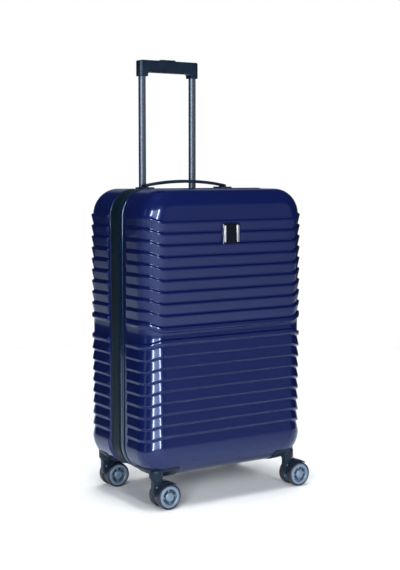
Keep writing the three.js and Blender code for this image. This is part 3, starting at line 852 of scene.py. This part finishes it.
def build_casters():
    """Four casters, each with its corner cap, fork, axle, two wheels and the fork's rivets."""
    rivet_out, rivet_z = 5.9, 48
    for corner in ("front_left", "front_right", "rear_left", "rear_right"):
        body = corner.split("_")[0].replace("rear", "back")
        swivel = f"swivel_{corner}"
        at = caster_frame(corner)
        soften(f"wheel_housing_{corner}", f"corner_cap_{corner}", body, "black_plastic", 0.5, 2, 50)
        soften(f"fork_{corner}", f"fork_{corner}_moulding", swivel, "black_plastic", 0.8, 3, 50)
        soften(f"axle_{corner}", f"axle_{corner}_pin", swivel, "steel", 0.4, 2, 60)
        for side, where in ((-1, "front"), (1, "back")):
            build_wheel(corner, side, where)
            rivet = lathe(f"fork_rivet_{corner}_{where}", RIVET_PROFILE,
                          lambda u, v, a: at(u - 1, side * (rivet_out + a), rivet_z + v), 20)
            piece(rivet, swivel, "steel")


# ---------- badge, lock and zip sliders ----------

def build_badge():
    """A black block with two chrome bars let into it, on a chrome back plate."""
    low, high = node_box("badge_frame")
    half, front, back = high.x, low.y, high.y
    middle = (low.z + high.z) / 2
    tall = (high.z - low.z) / 2
    outline = rounded_at(0, middle, half, tall, 2)
    plate = slab("badge_chrome_frame", outline, back - 0.8, back, "y", bevel=0.2)
    left, right = (-half + 4, 2.4), (half - 5, 3.4)
    bars = []
    for x, half_width in (left, right):
        face = rounded_at(x, middle, half_width, tall - 3.5, 0.8)
        bars.append(slab("bar", face, front, back - 1, "y",
                         bevel=min(half_width, 2.6) - 0.3, segments=6))
    piece(merge("badge_chrome_frame", plate, *bars), "front", "chrome", ["badge_frame"])
    black = slab("badge_black_block", outline, front + 0.5, back - 0.8, "y", bevel=0.8)
    piece(black, "front", "badge", ["badge_plate"])


def digit(text, turn, x, y, z, r):
    """A raised digit on a dial that turns about Y."""
    curve = bpy.data.curves.new("digit", "FONT")
    curve.body = text
    curve.size = 3.4 * MM
    curve.extrude = 0.12 * MM
    curve.align_x, curve.align_y = "CENTER", "CENTER"
    obj = new_object("digit", curve)
    upright = Matrix.Rotation(math.pi / 2, 4, "X")
    facing = Matrix.Rotation(math.pi / 2, 4, "Z")
    roll = Matrix.Rotation(turn, 4, "Y")
    obj.matrix_world = (Matrix.Translation(to_scene((x, y, z))) @ roll
                        @ Matrix.Translation((r * MM, 0, 0)) @ facing @ upright)
    mesh = evaluated_mesh(obj)
    mesh.transform(obj.matrix_world)
    bpy.data.objects.remove(obj)
    return new_object("digit", mesh)


def build_dial(k):
    """A dial with notches round its rim and raised digits between them."""
    low, high = node_box(f"lock_dial_{k}")
    x, y, z = ((a + b) / 2 for a, b in zip(low, high))
    half, radius = (high.y - low.y) / 2, (high.z - low.z) / 2
    notches, notch_depth = 20, 0.35
    rings = []
    for i in range(notches * 4):
        turn = 2 * math.pi * i / (notches * 4)
        r = radius - (notch_depth if i % 4 in (0, 1) else 0)
        profile = ((0.02, -half), (r * 0.93, -half), (r, -half + 0.5), (r, half - 0.5),
                   (r * 0.93, half), (0.02, half))
        rings.append([(x + q * math.cos(turn), y + a, z + q * math.sin(turn)) for q, a in profile])
    dial = loft(f"lock_dial_{k}_notched", rings, smooth_angle=25)
    piece(dial, f"dial_{k}", "zinc", [f"lock_dial_{k}"])
    marks = [digit(str(d), d * math.pi / 5, x, y, z, radius - 0.3) for d in range(10)]
    piece(merge(f"lock_dial_{k}_digits", *marks), f"dial_{k}", "badge")


def build_lock():
    """The lock with its release tab and dials, and the two zip sliders with their pulls."""
    soften("lock_body", "lock_case", "front", "zinc", 1.0, 3, 45)
    soften("lock_release", "lock_release_tab", "release", "zinc", 0.6, 3, 45)
    for k in (1, 2, 3):
        build_dial(k)
    for end in ("upper", "lower"):
        soften(f"zip_slider_{end}", f"slider_{end}_cast", f"slider_{end}", "zinc", 0.8, 3, 45)
        soften(f"zip_pull_{end}", f"pull_{end}_cast", f"pull_{end}", "zinc", 0.5, 3, 45)


# ---------- inside: linings, divider, straps and hinge cloth ----------

def lining_ring(side, rim, face, inset, z, depth):
    """The left half of one row of the lining, from the rim to the middle of the face."""
    def corner(turn):
        return corner_point(turn, depth, FACE_R - inset, -inset, face)

    widest, start = corner(0)
    points = [(widest, y, z) for y in spread(rim, start, 12)[:-1]]
    points += [(*corner(k / 8 * math.pi / 2), z) for k in range(9)]
    last_x, last_y, z = points[-1]
    points += [(last_x * (1 - k / 14.5), last_y, z) for k in range(1, 15)]
    return [(-x, side * y, z) for x, y, z in points]


def build_lining(name, side, rim, face, body, node):
    """The lining as one cloth pan with soft wrinkles, pressed into its half of the case."""
    inset = 6.0
    radius = FACE_R - inset
    top, bottom = SHELL_TOP - inset, SHELL_BOTTOM + inset
    depths = [radius * (1 - math.cos(k / 10 * math.pi / 2)) for k in range(1, 10)]
    levels = [(top - depth, depth) for depth in depths]
    levels += [(z, PAST_ROUNDING) for z in spread(top - radius, bottom + radius, 44)]
    levels += [(bottom + depth, depth) for depth in reversed(depths)]
    points, faces = [], []
    add_skin(points, faces, [lining_ring(side, rim, face, inset, *level) for level in levels])
    obj = mesh_object(name, points, faces, 80)
    wrinkle(obj, 0.55, side * rim)
    thicken(obj, CLOTH)
    piece(obj, body, "lining", [node])


def wrinkle(obj, depth, rim_y):
    """Moves vertices along their normals in long soft folds that fade out at the rim."""
    mesh = obj.data
    normals = [v.normal.copy() for v in mesh.vertices]
    for v, normal in zip(mesh.vertices, normals):
        p = (v.co - CENTRE) / MM
        fold = (math.sin(p.x * 0.055 + 1.7 * math.sin(p.z * 0.031))
                + 0.7 * math.sin(p.z * 0.083 + 1.3 * math.sin(p.x * 0.043) + p.y * 0.06))
        v.co += normal * (depth * MM * fold / 1.7 * smoothstep(abs(p.y - rim_y), 2, 18))
    mesh.update()


def divider_point(u, v, half_x, half_z, radius):
    """x and z of a place on the panel, u and v from -1 to 1, with its corners drawn in."""
    x, z = u * half_x, v * half_z
    over_x, over_z = abs(x) - (half_x - radius), abs(z) - (half_z - radius)
    if over_x > 0 and over_z > 0:
        pull = max(over_x, over_z) / math.hypot(over_x, over_z)
        x = math.copysign(half_x - radius + over_x * pull, x)
        z = math.copysign(half_z - radius + over_z * pull, z)
    return x, z


def edge_tape(name, edge, half, y0, y1, slot):
    """A flat tape along a closed outline of (x, z)."""
    rings = []
    for i, (x, z) in enumerate(edge):
        before, after = edge[i - 1], edge[(i + 1) % len(edge)]
        tx, tz = after[0] - before[0], after[1] - before[1]
        size = math.hypot(tx, tz)
        nx, nz = tz / size, -tx / size
        rings.append([(x + nx * h, y, z + nz * h)
                      for h, y in ((-half, y0), (half, y0), (half, y1), (-half, y1))])
    piece(loft(name, rings, smooth_angle=50), "front", slot)


def build_divider():
    """A zipped cloth panel across the front half, slightly slack, with a taped edge."""
    low, high = node_box("divider_panel")
    middle_z, half_x, half_z = (low.z + high.z) / 2, high.x, (high.z - low.z) / 2
    radius, panel_y, edge_inset = 50, -21, 12
    cols, rows = 61, 91
    points = []
    for v in spread(-1, 1, rows):
        for u in spread(-1, 1, cols):
            x, z = divider_point(u, v, half_x, half_z, radius)
            slack = smoothstep(1 - max(abs(u), abs(v)), 0, 0.3)
            fold = math.sin(x * 0.05 + 2 * math.sin(z * 0.02)) + math.sin(z * 0.06 + x * 0.02)
            points.append((x, panel_y + 0.45 * slack * fold, middle_z + z))
    faces = grid_faces([range(j * cols, (j + 1) * cols) for j in range(rows)])
    obj = mesh_object("divider_cloth_panel", points, faces, 80)
    thicken(obj, CLOTH)
    piece(obj, "front", "mesh_panel", ["divider_panel"])
    edge = rounded_at(0, middle_z, half_x - edge_inset, half_z - edge_inset,
                      radius - edge_inset, 12)
    edge_tape("divider_zip_0", edge, 5, -21.6, -20.1, "zip_fabric")
    edge_tape("divider_zip_1", edge, 1.6, -21.9, -19.4, "black_plastic")


def build_straps():
    """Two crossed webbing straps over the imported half, with a buckle where they meet."""
    centre_z, turn, length, strap_y, sunk, apart = 370.75, 0.85, 236, 98, 0.9, 0.8
    half_w, half_t, edge_w, edge_t = 19, 0.75, 17.8, 0.5
    section = [(-half_w, -edge_t), (-edge_w, -half_t), (edge_w, -half_t), (half_w, -edge_t),
               (half_w, edge_t), (edge_w, half_t), (-edge_w, half_t), (-half_w, edge_t)]
    straps = []
    for k, side in enumerate((-1, 1)):
        c, s = math.cos(side * turn), math.sin(side * turn)
        rings = []
        for u in spread(-length, length, 60):
            crossing = 1 - smoothstep(abs(u), 15, 70)
            y = strap_y - crossing * (sunk + apart * side) + 0.15 * math.sin(u * 0.13 + k)
            rings.append([(u * c - v * s, y + w, centre_z + u * s + v * c) for v, w in section])
        straps.append(loft(f"packing_strap_{k + 1}", rings, closed=False, smooth_angle=50))
    between_anchors = block(-166, 166, 80, 110, 185.4, 556.1, 1)
    trim(between_anchors, *straps)
    piece(straps[0], "back", "webbing", ["packing_straps"])
    piece(straps[1], "back", "webbing")
    buckle = slab("packing_buckle", rounded_at(0, centre_z, 23, 27, 7), 89, 95.4, "y", bevel=1.6)
    slots = [block(-17, 17, 86, 99, centre_z + s * 18 - 2.2, centre_z + s * 18 + 2.2, 1)
             for s in (-1, 1)]
    grips = [block(x, x + 5, 86, 99, centre_z - 9, centre_z + 9, 1) for x in (-24, 19)]
    cut(buckle, *slots, *grips)
    sharpen(buckle, 40)
    piece(buckle, "back", "black_plastic")


def build_hinge():
    """The strip of cloth inside the zip band on the hinge side that holds the halves together."""
    x, y0, y1, z0, z1 = -(HALF_W - 4.8), -28, 5, 132, 610
    columns, rows = spread(y0, y1, 34), spread(z0, z1, 40)
    points = [(x, y, z) for z in rows for y in columns]
    width = len(columns)
    faces = grid_faces([range(j * width, (j + 1) * width) for j in range(len(rows))])
    obj = mesh_object("hinge_cloth", points, faces, 80)
    thicken(obj, 0.4)
    obj.data.materials.append(FINISH["zip_fabric"])
    to_scene((x, -5, 370))
    to_scene((x, -19, 370))
    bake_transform(obj)


build_casters()
build_badge()
build_lock()
build_lining("lining_front_cloth", -1, 16.5, FACE_Y, "front", "lining_front")
build_lining("lining_back_cloth", 1, 4.5, 106.8, "back", "lining_back")
build_divider()
build_straps()
build_hinge()
for name in SIDES:
    soften(f"outer_tube_{name}", f"outer_tube_{name}_drawn", "back", "steel", 0.2, 1, 60)
soften("release_yoke", "release_yoke_stamped", "button", "steel", 0.5, 2, 50)
for name in SIDES:
    soften(f"carry_mount_{name}", f"carry_mount_{name}_moulding", "back", "black_plastic",
           0.5, 2, 50)


# ---------- camera, light and floor ----------

VIEW_FROM = (-1.4378, -2.1886, 0.7125)  # metres from CENTRE
VIEW_DOWN, VIEW_RIGHT = math.radians(5.51), math.radians(33.49)


def build_camera():
    """The viewpoint: in front and to the left, a little above the case's middle."""
    camera = bpy.data.cameras.new("camera")
    camera.lens = 74.08
    camera.sensor_width = 36
    view = new_object("camera", camera)
    view.location = CENTRE + Vector(VIEW_FROM)
    view.rotation_euler = (math.pi / 2 - VIEW_DOWN, 0, -VIEW_RIGHT)
    bpy.context.scene.camera = view


def softbox(name, place, target, width, height, power, color=(1, 1, 1), spread_deg=180):
    """An area light at a place, aimed at a target, both in metres from CENTRE."""
    light = bpy.data.lights.new(name, "AREA")
    light.shape = "RECTANGLE"
    light.size, light.size_y = width, height
    light.energy = power
    light.color = color
    light.spread = math.radians(spread_deg)
    lamp = new_object(name, light)
    lamp.location = CENTRE + Vector(place)
    aim = (CENTRE + Vector(target)) - lamp.location
    lamp.rotation_euler = aim.to_track_quat("-Z", "Y").to_euler()
    return lamp


def build_world():
    """A dim room, a little lighter behind the case, seen directly as plain white."""
    world = bpy.data.worlds.new("studio")
    bpy.context.scene.world = world
    world.use_nodes = True
    nodes, links = world.node_tree.nodes, world.node_tree.links
    place = nodes.new("ShaderNodeTexCoord")
    toward = nodes.new("ShaderNodeVectorMath")
    toward.operation = "DOT_PRODUCT"
    behind = Vector((0.5, 0.8, 0.25))
    toward.inputs[1].default_value = behind.normalized()
    links.new(place.outputs["Generated"], toward.inputs[0])
    glow = set_inputs(nodes.new("ShaderNodeMapRange"),
                      {"From Min": 0.92, "From Max": 0.99, "To Min": 0.02, "To Max": 0.3})
    glow.interpolation_type = "SMOOTHSTEP"
    links.new(toward.outputs["Value"], glow.inputs["Value"])
    room = set_inputs(nodes["Background"], {"Color": (0.88, 0.94, 1, 1)})
    links.new(glow.outputs["Result"], room.inputs["Strength"])
    seen = set_inputs(nodes.new("ShaderNodeBackground"), {"Color": (1, 1, 1, 1)})
    paths = nodes.new("ShaderNodeLightPath")
    both = nodes.new("ShaderNodeMixShader")
    links.new(paths.outputs["Is Camera Ray"], both.inputs["Fac"])
    links.new(room.outputs["Background"], both.inputs[1])
    links.new(seen.outputs["Background"], both.inputs[2])
    links.new(both.outputs["Shader"], nodes["World Output"].inputs["Surface"])


def build_studio():
    """A pale floor lit white from above, and softboxes in front and on the left for the shell to
    reflect."""
    bpy.context.scene.view_settings.view_transform = "Standard"
    build_world()
    floor_r, corners = 2200, 96
    turns = [2 * math.pi * k / corners for k in range(corners)]
    disc = [(floor_r * math.cos(turn), floor_r * math.sin(turn)) for turn in turns]
    floor = slab("floor", disc, -20, -0.2)
    floor.data.materials.append(material(
        "pale_floor", (0.86, 0.88, 0.9), 0.8, shade=0.01, bump=0.05, bump_scale=50,
        bump_depth=0.2, specular=0.1))
    ahead = Vector((math.sin(VIEW_RIGHT), math.cos(VIEW_RIGHT), 0))
    aside = Vector((ahead.y, -ahead.x, 0))
    overhead_z = 3.4
    overheads = [(-1.1, 0, 8), (0.3, 0, 8), (1.7, -0.8, 12), (1.7, 0.8, 12)]
    for k, (along, across, power) in enumerate(overheads):
        spot = ahead * along + aside * across
        lamp = softbox(f"overhead_{k}", spot + Vector((0, 0, overhead_z)), spot, 1.3, 1.3, power,
                       spread_deg=48)
        lamp.visible_glossy = False
    softbox("near_strip", (-2.5, -2.34, 1.15), (0, 0, 0.5), 0.42, 1.5, 75)
    softbox("front_strip", (-0.65, -3.39, 1.15), (0, 0, 0.5), 0.42, 1.5, 75)
    softbox("between_strips", (-1.75, -3.0, 1.15), (0, 0, 0.5), 1.5, 1.5, 40, (0.78, 0.9, 1))
    softbox("right_front", (1.65, -2.5, 0.85), (0, 0, 0.6), 1.5, 1.6, 2.6, (0.92, 0.96, 1))
    softbox("left_fill", (-3.3, -0.25, 1.1), (0, 0, 0.4), 0.5, 2.2, 4, (0.7, 0.85, 1))


build_camera()
build_studio()
